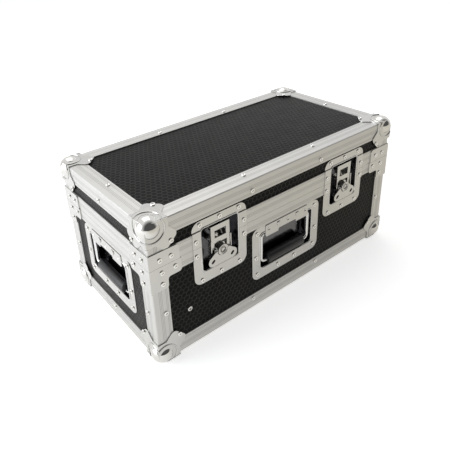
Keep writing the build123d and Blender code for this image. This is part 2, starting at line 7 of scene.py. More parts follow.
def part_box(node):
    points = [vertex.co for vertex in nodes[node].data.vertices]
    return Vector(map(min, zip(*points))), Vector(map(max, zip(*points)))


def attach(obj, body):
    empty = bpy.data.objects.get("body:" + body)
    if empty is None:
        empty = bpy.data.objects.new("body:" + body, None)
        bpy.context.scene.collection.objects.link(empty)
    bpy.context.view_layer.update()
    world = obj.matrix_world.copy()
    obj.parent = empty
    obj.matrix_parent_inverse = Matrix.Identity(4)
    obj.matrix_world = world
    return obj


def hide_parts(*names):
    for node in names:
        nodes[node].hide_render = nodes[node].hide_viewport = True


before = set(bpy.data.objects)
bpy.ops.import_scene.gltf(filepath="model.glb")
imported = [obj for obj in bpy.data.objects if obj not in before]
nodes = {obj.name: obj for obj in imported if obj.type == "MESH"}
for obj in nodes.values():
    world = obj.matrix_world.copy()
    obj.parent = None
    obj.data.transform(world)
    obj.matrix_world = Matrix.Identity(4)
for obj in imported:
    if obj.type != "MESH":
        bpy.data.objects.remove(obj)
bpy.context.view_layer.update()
mm = 0.001

# The case's own planes, read from the frame in millimetres
case = {
    "halfLength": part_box("base_bottom_edges")[1].x / mm,
    "halfDepth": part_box("base_bottom_edges")[1].y / mm,
    "foot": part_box("base_bottom_edges")[0].z / mm,
    "parting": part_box("base_braces")[1].z / mm,
    "top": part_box("lid_top_edges")[1].z / mm,
    "sheet": 1.6,
    "dishSheet": 1.2,
    "plate": 1.5,
}
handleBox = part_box("handle_front_dish")
latchBoxes = {
    side: (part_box(f"latch_{side}_lower_dish"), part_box(f"latch_{side}_upper_dish"))
    for side in ("left", "right")
}
latchAlong = {side: (low[0].x + low[1].x) / 2 / mm for side, (low, high) in latchBoxes.items()}
print("case read from the frame", {k: round(v, 1) for k, v in case.items()})

# Walls: along the wall, up the wall, outwards, and the distance of the wall from the middle
walls = {
    "front": ((1, 0, 0), (0, 0, 1), (0, -1, 0), case["halfDepth"]),
    "back": ((-1, 0, 0), (0, 0, 1), (0, 1, 0), case["halfDepth"]),
    "left": ((0, -1, 0), (0, 0, 1), (-1, 0, 0), case["halfLength"]),
    "right": ((0, 1, 0), (0, 0, 1), (1, 0, 0), case["halfLength"]),
    "top": ((1, 0, 0), (0, 1, 0), (0, 0, 1), case["top"]),
    "bottom": ((1, 0, 0), (0, -1, 0), (0, 0, -1), -case["foot"]),
}


def wallMatrix(wall, along=0.0, up=0.0, out=0.0):
    # local x runs along the wall, y up it and z outwards; along, up and out are in millimetres
    x, y, z, distance = walls[wall]
    x, y, z = Vector(x), Vector(y), Vector(z)
    place = (x * along + y * up + z * (distance + out)) * mm
    turn = Matrix((x, y, z)).transposed().to_4x4()
    return Matrix.Translation(place) @ turn


def toObject():
    bpy.ops.object.mode_set(mode="OBJECT")


def toEdit():
    bpy.ops.object.mode_set(mode="EDIT")


def clearSelection():
    if bpy.context.object and bpy.context.object.mode != "OBJECT":
        toObject()
    bpy.ops.object.select_all(action="DESELECT")


def activate(*pieces):
    clearSelection()
    for piece in pieces:
        piece.select_set(True)
    bpy.context.view_layer.objects.active = pieces[0]


def editFaces(piece, test):
    # selects the faces that pass test(centre, normal) and goes into edit mode
    activate(piece)
    bpy.context.tool_settings.mesh_select_mode = (False, False, True)
    mesh = piece.data
    toEdit()
    bpy.ops.mesh.select_all(action="DESELECT")
    toObject()
    for face in mesh.polygons:
        face.select = test(face.center, face.normal)
    toEdit()


def facingOut(centre, normal):
    return normal.z > 0.9


def flatTop(height):
    # the flat face at a height in millimetres, without the bevel round it
    return lambda centre, normal: normal.z > 0.99 and centre.z > (height - 0.01) * mm


def bevelFaces(piece, test, radius, segments):
    editFaces(piece, test)
    bpy.ops.mesh.bevel(offset=radius * mm, segments=segments, affect="EDGES")
    toObject()


def stepFace(inset, rise):
    # insets the chosen face, then moves it out, or in for a negative rise
    bpy.ops.mesh.inset(thickness=inset * mm)
    bpy.ops.mesh.extrude_region_move(TRANSFORM_OT_translate={"value": (0, 0, rise * mm)})


def settle(piece, matrix=None):
    # puts the piece's place into its mesh and its object at the origin
    if matrix is not None:
        piece.data.transform(matrix)
    activate(piece)
    bpy.ops.object.transform_apply(location=True, rotation=True, scale=True)
    return piece


mergeDistance = 0.00001


def recalculate(piece):
    # merges the doubled vertices and turns every face outwards
    activate(piece)
    toEdit()
    bpy.ops.mesh.select_all(action="SELECT")
    bpy.ops.mesh.remove_doubles(threshold=mergeDistance)
    bpy.ops.mesh.normals_make_consistent(inside=False)
    toObject()


def smooth(piece, degrees):
    activate(piece)
    bpy.ops.object.shade_smooth_by_angle(angle=radians(degrees))


def applyModifiers(piece):
    activate(piece)
    for modifier in list(piece.modifiers):
        bpy.ops.object.modifier_apply(modifier=modifier.name)


def block(low, high, name):
    # a box between two corners in millimetres, to be shaped further
    low, high = Vector(low) * mm, Vector(high) * mm
    clearSelection()
    bpy.ops.mesh.primitive_cube_add(size=1, location=(low + high) / 2, scale=high - low)
    made = bpy.context.object
    made.name = name
    return settle(made)


def drum(radius, low, high, name, sides=32, place=(0, 0)):
    # a round bar along z between two heights in millimetres
    clearSelection()
    bpy.ops.mesh.primitive_cylinder_add(
        vertices=sides, radius=radius * mm, depth=(high - low) * mm,
        location=Vector((*place, (low + high) / 2)) * mm,
    )
    made = bpy.context.object
    made.name = name
    return settle(made)


def hoop(radius, tube, segments, sides, place):
    # a ring about z
    clearSelection()
    bpy.ops.mesh.primitive_torus_add(
        major_radius=radius * mm, minor_radius=tube * mm,
        major_segments=segments, minor_segments=sides, location=tuple(v * mm for v in place),
    )
    return settle(bpy.context.object)


def sphere(radius, segments, rings, place):
    clearSelection()
    bpy.ops.mesh.primitive_uv_sphere_add(
        segments=segments, ring_count=rings, radius=radius * mm, location=tuple(v * mm for v in place)
    )
    return settle(bpy.context.object)


def combine(piece, tool, operation):
    # unites with, or cuts away, another mesh that isn't needed afterwards
    modifier = piece.modifiers.new("shape", "BOOLEAN")
    modifier.object = tool
    modifier.operation = operation
    applyModifiers(piece)
    bpy.data.objects.remove(tool)
    return piece


def roundEdges(piece, test, radius, segments):
    # bevels the edges that pass test(first end, second end)
    activate(piece)
    bpy.context.tool_settings.mesh_select_mode = (False, True, False)
    mesh = piece.data
    toEdit()
    bpy.ops.mesh.select_all(action="DESELECT")
    toObject()
    for edge in mesh.edges:
        first, second = (mesh.vertices[index].co for index in edge.vertices)
        edge.select = test(first, second)
    toEdit()
    bpy.ops.mesh.bevel(offset=radius * mm, segments=segments, affect="EDGES")
    toObject()


def alongZ(first, second):
    return abs(first.z - second.z) > 10 * hypot(first.x - second.x, first.y - second.y)


def softenEdges(piece, width, degrees=60.0):
    modifier = piece.modifiers.new("soften", "BEVEL")
    modifier.width = width * mm
    modifier.segments = 2
    modifier.limit_method = "ANGLE"
    modifier.angle_limit = radians(degrees)
    applyModifiers(piece)
    smooth(piece, 20)


def trimPlane(piece, place, normal):
    # clears what lies beyond a plane and closes the cut
    activate(piece)
    toEdit()
    bpy.ops.mesh.select_all(action="SELECT")
    bpy.ops.mesh.bisect(
        plane_co=Vector(place) * mm, plane_no=normal, clear_outer=True, use_fill=True
    )
    toObject()


bendSteps = 6


def sweptTube(name, radius, sides, start, heading, runs, bend, closed=False):
    # a round tube in the plane of x and y: straight runs joined by left-hand quarter bends
    clearSelection()
    place, heading = Vector((*start, 0)), Vector((*heading, 0))
    turn = (0, radians(90), 0) if abs(heading.x) > 0.5 else (radians(90), 0, 0)
    bpy.ops.mesh.primitive_circle_add(
        vertices=sides, radius=radius * mm, location=place * mm, rotation=turn
    )
    tube = bpy.context.object
    tube.name = name
    settle(tube)
    bpy.context.tool_settings.mesh_select_mode = (False, True, False)
    toEdit()
    bpy.ops.mesh.select_all(action="SELECT")
    for index, run in enumerate(runs):
        bpy.ops.mesh.extrude_region_move(TRANSFORM_OT_translate={"value": heading * run * mm})
        place += heading * run
        if index + 1 < len(runs):
            leftward = Vector((-heading.y, heading.x, 0))
            centre = place + leftward * bend
            bpy.ops.mesh.spin(steps=bendSteps, angle=radians(90), center=centre * mm, axis=(0, 0, -1))
            place = centre + heading * bend
            heading = leftward
    bpy.ops.mesh.select_all(action="SELECT")
    bpy.ops.mesh.remove_doubles(threshold=mergeDistance)
    if not closed:
        bpy.ops.mesh.select_all(action="DESELECT")
        bpy.ops.mesh.select_non_manifold(extend=False)
        bpy.ops.mesh.edge_face_add()
    toObject()
    recalculate(tube)
    smooth(tube, 50)
    return tube


def copyOf(piece, name, matrix):
    twin = bpy.data.objects.new(name, piece.data.copy())
    bpy.context.scene.collection.objects.link(twin)
    twin.data.transform(matrix)
    if matrix.determinant() < 0:
        twin.data.flip_normals()
    return twin


def joined(pieces, name):
    activate(*pieces)
    if len(pieces) > 1:
        bpy.ops.object.join()
    result = bpy.context.view_layer.objects.active
    result.name = name
    result.data.name = name
    return result


def finishPiece(piece, body, material):
    piece.data.materials.clear()
    piece.data.materials.append(material)
    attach(piece, body)
    return piece


# Node groups
def connect(tree, value, target):
    # links a socket, or sets a plain value
    if isinstance(value, bpy.types.NodeSocket):
        tree.links.new(value, target)
    else:
        target.default_value = value


def mathNode(tree, operation, *values, clamp=False):
    made = tree.nodes.new("ShaderNodeMath")
    made.operation = operation
    made.use_clamp = clamp
    for value, target in zip(values, made.inputs):
        connect(tree, value, target)
    return made.outputs[0]


def vectorNode(tree, operation, *values):
    made = tree.nodes.new("ShaderNodeVectorMath")
    made.operation = operation
    for value, target in zip(values, made.inputs):
        connect(tree, value, target)
    isNumber = operation in ("DOT_PRODUCT", "LENGTH")
    return made.outputs["Value" if isNumber else "Vector"]


def scaledBy(tree, vector, factor):
    made = vectorNode(tree, "SCALE", vector)
    connect(tree, factor, made.node.inputs["Scale"])
    return made


# The first of the two inputs that a Mix node has for a kind of value, and its output
mixSockets = {"FLOAT": (2, 0), "VECTOR": (4, 1), "RGBA": (6, 2)}


def mixNode(tree, kind, factor, first, second, blend="MIX"):
    made = tree.nodes.new("ShaderNodeMix")
    made.data_type = kind
    made.blend_type = blend
    start, result = mixSockets[kind]
    for index, value in ((0, factor), (start, first), (start + 1, second)):
        connect(tree, value, made.inputs[index])
    return made.outputs[result]


def noise(tree, position, scale, detail=2.0):
    made = tree.nodes.new("ShaderNodeTexNoise")
    made.inputs["Detail"].default_value = detail
    connect(tree, position, made.inputs["Vector"])
    connect(tree, scale, made.inputs["Scale"])
    return made.outputs[0]


def split(tree, vector):
    parts = tree.nodes.new("ShaderNodeSeparateXYZ")
    tree.links.new(vector, parts.inputs[0])
    return parts.outputs


def newGroup(name, inputs, outputs):
    # each socket's name goes with its first value, or with None for a vector
    group = bpy.data.node_groups.new(name, "ShaderNodeTree")
    for direction, sockets in (("INPUT", inputs), ("OUTPUT", outputs)):
        for title, value in sockets.items():
            kind = "NodeSocketVector" if value is None else "NodeSocketFloat"
            made = group.interface.new_socket(name=title, in_out=direction, socket_type=kind)
            if value is not None:
                made.default_value = value
    return group, group.nodes.new("NodeGroupInput"), group.nodes.new("NodeGroupOutput")


def placeGroup(tree, group, **values):
    made = tree.nodes.new("ShaderNodeGroup")
    made.node_tree = group
    for name, value in values.items():
        connect(tree, value, made.inputs[name])
    return made.outputs


facingLimit = 0.7


def makeFacePosition():
    # the place on a flat wall as two lengths in millimetres, whichever way the wall faces
    group, entry, leave = newGroup("facePosition", {"Position": None, "Normal": None}, {"Flat": None})
    spot = split(group, scaledBy(group, entry.outputs["Position"], 1 / mm))
    facing = split(group, vectorNode(group, "ABSOLUTE", entry.outputs["Normal"]))
    both = group.nodes.new("ShaderNodeCombineXYZ")
    for index, axis in enumerate((0, 2)):
        # x across and z upwards, with y instead of the one that the wall faces along
        facesAxis = mathNode(group, "GREATER_THAN", facing[axis], facingLimit)
        length = mixNode(group, "FLOAT", facesAxis, spot[axis], spot[1])
        group.links.new(length, both.inputs[index])
    group.links.new(both.outputs[0], leave.inputs["Flat"])
    return group


def makeHexPattern():
    # a net of hexagons: Line is 1 on the net and 0 in the cells
    group, entry, leave = newGroup(
        "hexPattern", {"Flat": None, "Pitch": 8.0, "Line Width": 0.1}, {"Line": 0.0}
    )
    rowRatio = 3**0.5
    step = (1.0, rowRatio, 1.0)
    half = (0.5, rowRatio / 2, 0.5)
    flat = (1.0, 1.0, 0.0)
    density = mathNode(group, "DIVIDE", 1.0, entry.outputs["Pitch"])
    scaled = scaledBy(group, entry.outputs["Flat"], density)
    grids = []
    for place in (scaled, vectorNode(group, "ADD", scaled, half)):
        wrapped = vectorNode(group, "WRAP", place, step, (0, 0, 0))
        centred = vectorNode(group, "SUBTRACT", wrapped, half)
        grids.append(vectorNode(group, "MULTIPLY", centred, flat))
    first, second = (vectorNode(group, "LENGTH", grid) for grid in grids)
    nearer = mathNode(group, "LESS_THAN", second, first)
    cell = vectorNode(group, "ABSOLUTE", mixNode(group, "VECTOR", nearer, *grids))
    slanted = vectorNode(group, "DOT_PRODUCT", cell, (0.5, rowRatio / 2, 0))
    reach = mathNode(group, "MAXIMUM", slanted, split(group, cell)[0])
    inward = mathNode(group, "SUBTRACT", 0.5, reach)
    share = mathNode(group, "DIVIDE", inward, entry.outputs["Line Width"])
    group.links.new(mathNode(group, "SUBTRACT", 1.0, share, clamp=True), leave.inputs["Line"])
    return group


def makeEdgeDistance():
    # how far a point on the edging lies from the case's nearest outer edge, in millimetres
    group, entry, leave = newGroup("edgeDistance", {"Position": None, "Normal": None}, {"Distance": 0.0})
    spot = split(group, scaledBy(group, entry.outputs["Position"], 1 / mm))
    facing = split(group, vectorNode(group, "ABSOLUTE", entry.outputs["Normal"]))
    middle = (case["top"] + case["foot"]) / 2
    halves = (case["halfLength"], case["halfDepth"], (case["top"] - case["foot"]) / 2)
    far = 1000.0  # keeps the axis that the face looks along out of the choice
    nearest = None
    for axis, half in enumerate(halves):
        here = mathNode(group, "SUBTRACT", spot[axis], middle if axis == 2 else 0.0)
        inward = mathNode(group, "SUBTRACT", half, mathNode(group, "ABSOLUTE", here))
        chosen = mathNode(group, "MULTIPLY_ADD", facing[axis], far, inward)
        nearest = chosen if nearest is None else mathNode(group, "MINIMUM", nearest, chosen)
    group.links.new(nearest, leave.inputs["Distance"])
    return group


# the grooves are painted darker as shade in them, besides their bump
grooves = {"places": (10.5, 12.8, 15.1, 22.4, 24.6), "halfWidth": 0.6, "grooveShade": -0.45}


def makeRibs():
    # the fine lengthwise grooves of the rolled edging
    group, entry, leave = newGroup("grooves", {"Distance": 0.0}, {"Groove": 0.0})
    deepest = None
    for place in grooves["places"]:
        off = mathNode(group, "ABSOLUTE", mathNode(group, "SUBTRACT", entry.outputs["Distance"], place))
        share = mathNode(group, "DIVIDE", off, grooves["halfWidth"])
        depth = mathNode(group, "SUBTRACT", 1.0, share, clamp=True)
        deepest = depth if deepest is None else mathNode(group, "MAXIMUM", deepest, depth)
    group.links.new(deepest, leave.inputs["Groove"])
    return group


smudges = {"detail": 4.0, "tone": 0.12}


def makeHandling():
    # the soft smudges of handled metal, as a change of roughness and of tone
    group, entry, leave = newGroup(
        "handling",
        {"Position": None, "Scale": 60.0, "Roughness": 0.3, "Spread": 0.1},
        {"Roughness Out": 0.0, "Tone": 0.0},
    )
    smudge = noise(group, entry.outputs["Position"], entry.outputs["Scale"], smudges["detail"])
    centred = mathNode(group, "SUBTRACT", smudge, 0.5)
    spread, middle = entry.outputs["Spread"], entry.outputs["Roughness"]
    rough = mathNode(group, "MULTIPLY_ADD", centred, spread, middle, clamp=True)
    group.links.new(rough, leave.inputs["Roughness Out"])
    tone = mathNode(group, "MULTIPLY_ADD", centred, smudges["tone"], 1.0)
    group.links.new(tone, leave.inputs["Tone"])
    return group


facePosition = makeFacePosition()
hexPattern = makeHexPattern()
edgeDistance = makeEdgeDistance()
ribs = makeRibs()
handling = makeHandling()
print("node groups made")


# Materials
def newMaterial(name, **settings):
    material = bpy.data.materials.new(name)
    material.use_nodes = True
    shader = material.node_tree.nodes["Principled BSDF"]
    for key, value in settings.items():
        shader.inputs[key].default_value = value
    return material, material.node_tree, shader


def coordinates(tree):
    return tree.nodes.new("ShaderNodeTexCoord").outputs


def tinted(tree, tone, colour):
    # the colour made lighter or darker by a tone round 1
    grey = tree.nodes.new("ShaderNodeCombineColor")
    for channel in range(3):
        tree.links.new(tone, grey.inputs[channel])
    return mixNode(tree, "RGBA", 1.0, (*colour, 1), grey.outputs[0], "MULTIPLY")


def bump(tree, shader, height, distance, strength):
    made = tree.nodes.new("ShaderNodeBump")
    made.inputs["Distance"].default_value = distance * mm
    made.inputs["Strength"].default_value = strength
    tree.links.new(height, made.inputs["Height"])
    tree.links.new(made.outputs[0], shader.inputs["Normal"])


def wear(tree, shader, position, look):
    # gives the shader its smudged roughness, and returns the tone that goes with it
    worn = placeGroup(
        tree, handling, Position=position, Scale=look["scale"],
        Roughness=look["roughness"], Spread=look["spread"],
    )
    tree.links.new(worn["Roughness Out"], shader.inputs["Roughness"])
    return worn["Tone"]


laminate = {
    "cell": (0.0010, 0.0010, 0.0009),
    "net": (0.036, 0.036, 0.031),
    "specular": 0.07,
    "pitch": 9.0,
    "lineWidth": 0.10,
    "relief": 0.25,
    "strength": 0.9,
    "grainScale": 900.0,
    "grain": 0.08,
    "scale": 40.0,
    "roughness": 0.36,
    "spread": 0.2,
}


def makeLaminate():
    look = laminate
    material, tree, shader = newMaterial("blackHexLaminate", **{"Specular IOR Level": look["specular"]})
    place = coordinates(tree)
    flat = placeGroup(tree, facePosition, Position=place["Object"], Normal=place["Normal"])["Flat"]
    net = placeGroup(
        tree, hexPattern, Flat=flat, **{"Pitch": look["pitch"], "Line Width": look["lineWidth"]}
    )["Line"]
    colour = mixNode(tree, "RGBA", net, (*look["cell"], 1), (*look["net"], 1))
    tree.links.new(colour, shader.inputs["Base Color"])
    wear(tree, shader, place["Object"], look)
    grain = noise(tree, place["Object"], look["grainScale"])
    height = mathNode(tree, "MULTIPLY_ADD", grain, look["grain"], net)
    bump(tree, shader, height, look["relief"], look["strength"])
    return material


edging = {
    "colour": (0.58, 0.575, 0.56),
    "scale": 25.0,
    "roughness": 0.42,
    "spread": 0.08,
    "relief": 0.15,
    "strength": 0.5,
}


def makeEdging(name, distanceOf):
    look = edging
    material, tree, shader = newMaterial(name, Metallic=1.0)
    place = coordinates(tree)
    groove = placeGroup(tree, ribs, Distance=distanceOf(tree, place))["Groove"]
    tone = wear(tree, shader, place["Object"], look)
    # painted shade: the tone is darkened in the grooves
    darker = mathNode(tree, "MULTIPLY_ADD", groove, grooves["grooveShade"], tone)
    tree.links.new(tinted(tree, darker, look["colour"]), shader.inputs["Base Color"])
    bump(tree, shader, mathNode(tree, "SUBTRACT", 1.0, groove), look["relief"], look["strength"])
    return material


def distanceFromEdge(tree, place):
    return placeGroup(tree, edgeDistance, Position=place["Object"], Normal=place["Normal"])["Distance"]


def distanceFromParting(tree, place):
    height = mathNode(tree, "MULTIPLY", split(tree, place["Object"])[2], 1 / mm)
    return mathNode(tree, "ABSOLUTE", mathNode(tree, "SUBTRACT", height, case["parting"]))


# The pressed and polished metals, all with the same slight unevenness of their sheet
ripple = {"scale": 45.0, "relief": 0.9, "strength": 0.6}
metals = {
    "brightZinc": {"colour": (0.56, 0.555, 0.54), "roughness": 0.16, "spread": 0.16, "scale": 70.0},
    "polishedBall": {"colour": (0.66, 0.65, 0.63), "roughness": 0.07, "spread": 0.05, "scale": 50.0},
    "rivetHeads": {"colour": (0.80, 0.79, 0.77), "roughness": 0.18, "spread": 0.1, "scale": 90.0},
    # painted shade: a dark metal for the insides of the recesses and for the rivet wells
    "paintedRecessShade": {"colour": (0.14, 0.14, 0.15), "roughness": 0.16, "spread": 0.12, "scale": 60.0},
    "platedBar": {"colour": (0.70, 0.70, 0.70), "roughness": 0.14, "spread": 0.08, "scale": 90.0},
}
rubber = {"colour": (0.012, 0.012, 0.013), "roughness": 0.42, "spread": 0.2, "scale": 120.0}


def makeSurface(name, look, metallic):
    material, tree, shader = newMaterial(name, Metallic=metallic)
    position = coordinates(tree)["Object"]
    tone = wear(tree, shader, position, look)
    tree.links.new(tinted(tree, tone, look["colour"]), shader.inputs["Base Color"])
    return material, tree, shader, position


def makeMetal(name):
    material, tree, shader, position = makeSurface(name, metals[name], 1.0)
    bump(tree, shader, noise(tree, position, ripple["scale"]), ripple["relief"], ripple["strength"])
    return material


blackLaminate = makeLaminate()
edgingMetal = makeEdging("ribbedEdging", distanceFromEdge)
rimMetal = makeEdging("ribbedRim", distanceFromParting)
zinc = makeMetal("brightZinc")
chrome = makeMetal("polishedBall")
rivetMetal = makeMetal("rivetHeads")
paintedShadeMetal = makeMetal("paintedRecessShade")
barMetal = makeMetal("platedBar")
gripBlack = makeSurface("blackGrip", rubber, 0.0)[0]

materialEndings = {
    "_panel": blackLaminate,
    "_rim": rimMetal,
    "_edges": edgingMetal,
    "_uprights": edgingMetal,
    "_grip": gripBlack,
    "_rod": barMetal,
}
for name, node in nodes.items():
    matching = [material for ending, material in materialEndings.items() if name.endswith(ending)]
    for holder in node.material_slots:
        holder.material = matching[0] if matching else zinc
print("materials made and given to", len(nodes), "nodes")


# Rivets: a pressed head with a sunk middle painted dark as shade, each turned a little further than the
# last
rivet = {
    "radius": 3.9,
    "height": 1.5,
    "sides": 14,
    "round": 0.6,
    "well": 1.8,
    "wellDepth": 1.1,
    "wellTaper": 0.75,
    "turn": 0.7,
}


def makeRivet():
    r = rivet
    head = drum(r["radius"], 0, r["height"], "rivetPattern", r["sides"])
    bevelFaces(head, facingOut, r["round"], 2)
    editFaces(head, flatTop(r["height"]))
    stepFace(r["radius"] - r["round"] - r["well"], -r["wellDepth"])
    bpy.ops.transform.resize(value=(r["wellTaper"], r["wellTaper"], 1))
    toObject()
    # the faces in the well take the second material, the dark metal that paints the well's shade
    for face in head.data.polygons:
        inWell = hypot(face.center.x, face.center.y) < r["well"] * mm and face.normal.z > 0.2
        face.material_index = int(inWell)
    smooth(head, 40)
    return head


def mirroredPairs(points):
    return [*points, *((-x, y) for x, y in points)]


rivetPlaces = {
    "edgeOffset": 78.0,
    "edgeInset": 19.5,
    "uprightHeight": 89.5,
    "leg": 38.5,
    "baseBrace": ((19.0, 164.5), (42.0, 165.5), (18.5, 144.8)),
    "lidBrace": ((17.0, 186.7), (36.4, 186.5)),
    "latchRow": 37.3,
    "latchRise": 49.8,
    "latchSide": 46.0,
    "latchLid": 24.0,
    "latchBase": -1.0,
    "handleSide": 71.0,
    "handleCorner": (68.0, 40.5),
    "handleMiddle": -6.0,
    "handleFoot": (20.0, -42.5),
    "hingeRow": 27.0,
    "hingeInset": 37.5,
    "hingeLid": -9.3,
    "hingeBase": 6.8,
    "hingeOut": 1.4,
}
onPanel = case["dishSheet"] - case["sheet"]
fourWays = [(x, y) for x in (-1, 1) for y in (-1, 1)]


def edgingRivets(upper):
    # (wall, distance out from the wall, points) for the edging, the legs and the braces
    p, rows = rivetPlaces, []
    edgeUp = case["top"] - p["edgeInset"] if upper else case["foot"] + p["edgeInset"]
    legUp = case["top"] - p["leg"] if upper else case["foot"] + p["leg"]
    braces = p["lidBrace"] if upper else p["baseBrace"]
    for wall in ("front", "back", "left", "right"):
        long = wall in ("front", "back")
        half = case["halfLength"] if long else case["halfDepth"]
        points = mirroredPairs([(p["edgeOffset"], edgeUp)]) if long else [(0.0, edgeUp)]
        if not upper:
            points += mirroredPairs([(half - p["edgeInset"], case["foot"] + p["uprightHeight"])])
        rows.append((wall, 0.0, points))
        rows.append((wall, case["plate"], mirroredPairs([(half - p["leg"], legUp)])))
        bracePoints = [(half - x, case["foot"] + z) for x, z in braces]
        rows.append((wall, case["plate"], mirroredPairs(bracePoints)))
    flat = "top" if upper else "bottom"
    halfLength, halfDepth = case["halfLength"], case["halfDepth"]
    edge = [(x * p["edgeOffset"], y * (halfDepth - p["edgeInset"])) for x, y in fourWays]
    edge += [(x * (halfLength - p["edgeInset"]), 0.0) for x in (-1, 1)]
    rows.append((flat, 0.0, edge))
    legs = [(x * (halfLength - p["leg"]), y * (halfDepth - p["leg"])) for x, y in fourWays]
    rows.append((flat, case["plate"], legs))
    return rows


def latchRivets(upper):
    p, rows = rivetPlaces, []
    for side, (lower, higher) in latchBoxes.items():
        place = latchAlong[side]
        middle = (lower[0].z + higher[1].z) / 2 / mm
        rowUp = middle + (p["latchRise"] if upper else -p["latchRise"])
        sideUp = middle + (p["latchLid"] if upper else p["latchBase"])
        row = (-p["latchRow"], 0, p["latchRow"])
        sides = (-p["latchSide"], p["latchSide"])
        rows.append(("front", onPanel, [(place + x, rowUp) for x in row]))
        rows.append(("front", case["dishSheet"], [(place + x, sideUp) for x in sides]))
    return rows


def handleRivets():
    p = rivetPlaces
    middle = (handleBox[0].z + handleBox[1].z) / 2 / mm
    right, rise = p["handleCorner"]
    foot, drop = p["handleFoot"]
    points = [(right, middle + rise), (right, middle - rise), (p["handleSide"], middle + p["handleMiddle"])]
    points.append((foot, middle + drop))
    return [(wall, onPanel, mirroredPairs(points)) for wall in ("front", "left", "right")]


def hingeRivets(upper):
    p = rivetPlaces
    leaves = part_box("hinge_lid_leaves" if upper else "hinge_base_leaves")
    reach = leaves[1].x / mm - p["hingeInset"]
    up = leaves[1].z / mm + p["hingeLid"] if upper else leaves[0].z / mm + p["hingeBase"]
    row = (-p["hingeRow"], 0, p["hingeRow"])
    return [("back", p["hingeOut"], [(side * reach + x, up) for side in (-1, 1) for x in row])]


def placeRivets(pattern, rows, body, name):
    copies = []
    for wall, out, points in rows:
        for along, up in points:
            turn = Matrix.Rotation(rivet["turn"] * len(copies), 4, "Z")
            copies.append(copyOf(pattern, "rivet", wallMatrix(wall, along, up, out) @ turn))
    rivets = finishPiece(joined(copies, name), body, rivetMetal)
    # the second material is the dark metal that paints shade in the rivet wells
    rivets.data.materials.append(paintedShadeMetal)


rivetPattern = makeRivet()
for rows, body, name in (
    (edgingRivets(False), "base", "baseEdgingRivets"),
    (edgingRivets(True), "lid", "lidEdgingRivets"),
    (latchRivets(False), "base", "latchBaseRivets"),
    (latchRivets(True), "lid", "latchLidRivets"),
    (handleRivets(), "base", "handleRivets"),
    (hingeRivets(False), "base", "hingeBaseRivets"),
    (hingeRivets(True), "lid", "hingeLidRivets"),
):
    placeRivets(rivetPattern, rows, body, name)
bpy.data.objects.remove(rivetPattern)
print("rivets placed")

# Ball corners: three riveted legs with a rounded tongue, a ridge round the ball, and the polished ball
corner = {
    "side": 37.0,
    "tongueStart": 18.0,
    "tongueEnd": 57.3,
    "tongueWidth": 32.6,
    "tongueRound": 8.0,
    "edgeRound": 0.45,
    "lidReach": 47.8,
    "footCut": 0.02,
    "whole": 60.0,
}
ball = {"radius": 17.6, "inset": 11.2, "segments": 48, "rings": 24, "skin": 4.0}
ridge = {"radius": 19.5, "tube": 1.4, "segments": 48, "sides": 10}
# turns x into y, y into z and z into x
nextAxis = Matrix(((0, 0, 1, 0), (1, 0, 0, 0), (0, 1, 0, 0), (0, 0, 0, 1)))


def makeLegs(reach):
    # local x, y and z run from the corner into the case, and the first leg lies on the face at z = 0
    plate, inset, whole = case["plate"], ball["inset"], corner["whole"]
    leg = block((-plate, -plate, -plate), (corner["side"], corner["side"], 0), "leg")
    half = corner["tongueWidth"] / 2
    tongue = block((corner["tongueStart"], -half, -plate), (corner["tongueEnd"], half, 0), "tongue")
    roundEdges(tongue, alongZ, corner["tongueRound"], 6)
    tongue.data.transform(Matrix.Rotation(radians(45), 4, "Z"))
    combine(leg, tongue, "UNION")
    others = [copyOf(leg, "leg", nextAxis), copyOf(leg, "leg", nextAxis @ nextAxis)]
    for other in others:
        combine(leg, other, "UNION")
    combine(leg, block((-whole, -whole, -whole), (inset, inset, inset), "ballPlace"), "DIFFERENCE")
    softenEdges(leg, corner["edgeRound"], 40)
    rings = []
    for turn in (Matrix(), nextAxis, nextAxis @ nextAxis):
        place = (inset, inset, -plate)
        ring = hoop(ridge["radius"], ridge["tube"], ridge["segments"], ridge["sides"], place)
        trimPlane(ring, (-plate, 0, 0), (-1, 0, 0))
        trimPlane(ring, (0, -plate, 0), (0, -1, 0))
        ring.data.transform(turn)
        smooth(ring, 60)
        rings.append(ring)
    legs = joined([leg, *rings], "legPattern")
    if reach:
        trimPlane(legs, (0, 0, reach), (0, 0, 1))
    return legs


def makeBall():
    shell = sphere(ball["radius"], ball["segments"], ball["rings"], [ball["inset"]] * 3)
    combine(shell, block([ball["skin"]] * 3, [corner["whole"]] * 3, "inside"), "DIFFERENCE")
    smooth(shell, 50)
    return shell


def cornerMatrix(x, y, upper):
    # puts a corner's own axes at one of the case's eight corners
    height = case["top"] if upper else case["foot"]
    place = Vector((x * case["halfLength"], y * case["halfDepth"], height)) * mm
    return Matrix.Translation(place) @ Matrix.Diagonal((-x, -y, -1 if upper else 1, 1))


def placeCorners(upper):
    half = "lid" if upper else "base"
    for pattern, name, metal in (
        (makeLegs(corner["lidReach"] if upper else None), f"{half}CornerLegs", zinc),
        (makeBall(), f"{half}Balls", chrome),
    ):
        copies = [copyOf(pattern, name, cornerMatrix(x, y, upper)) for x, y in fourWays]
        piece = joined(copies, name)
        bpy.data.objects.remove(pattern)
        if not upper:
            trimPlane(piece, (0, 0, corner["footCut"]), (0, 0, -1))
        if metal is zinc:
            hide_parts(f"{half}_ball_corners")
        finishPiece(piece, half, metal)


placeCorners(True)
placeCorners(False)
print("ball corners made")

# Handles: the bent bar and the sleeve that is gripped
bar = {
    "radius": 3.5,
    "halfSpan": 55.5,
    "bend": 8.0,
    "depth": 5.5,
    "axisUp": 143.0,
    "footUp": 88.0,
    "end": 28.0,
    "sides": 20,
}
grip = {"radius": 8.5, "length": 86.0, "round": 2.6, "sides": 32, "taller": 1.18, "rise": 1.5}


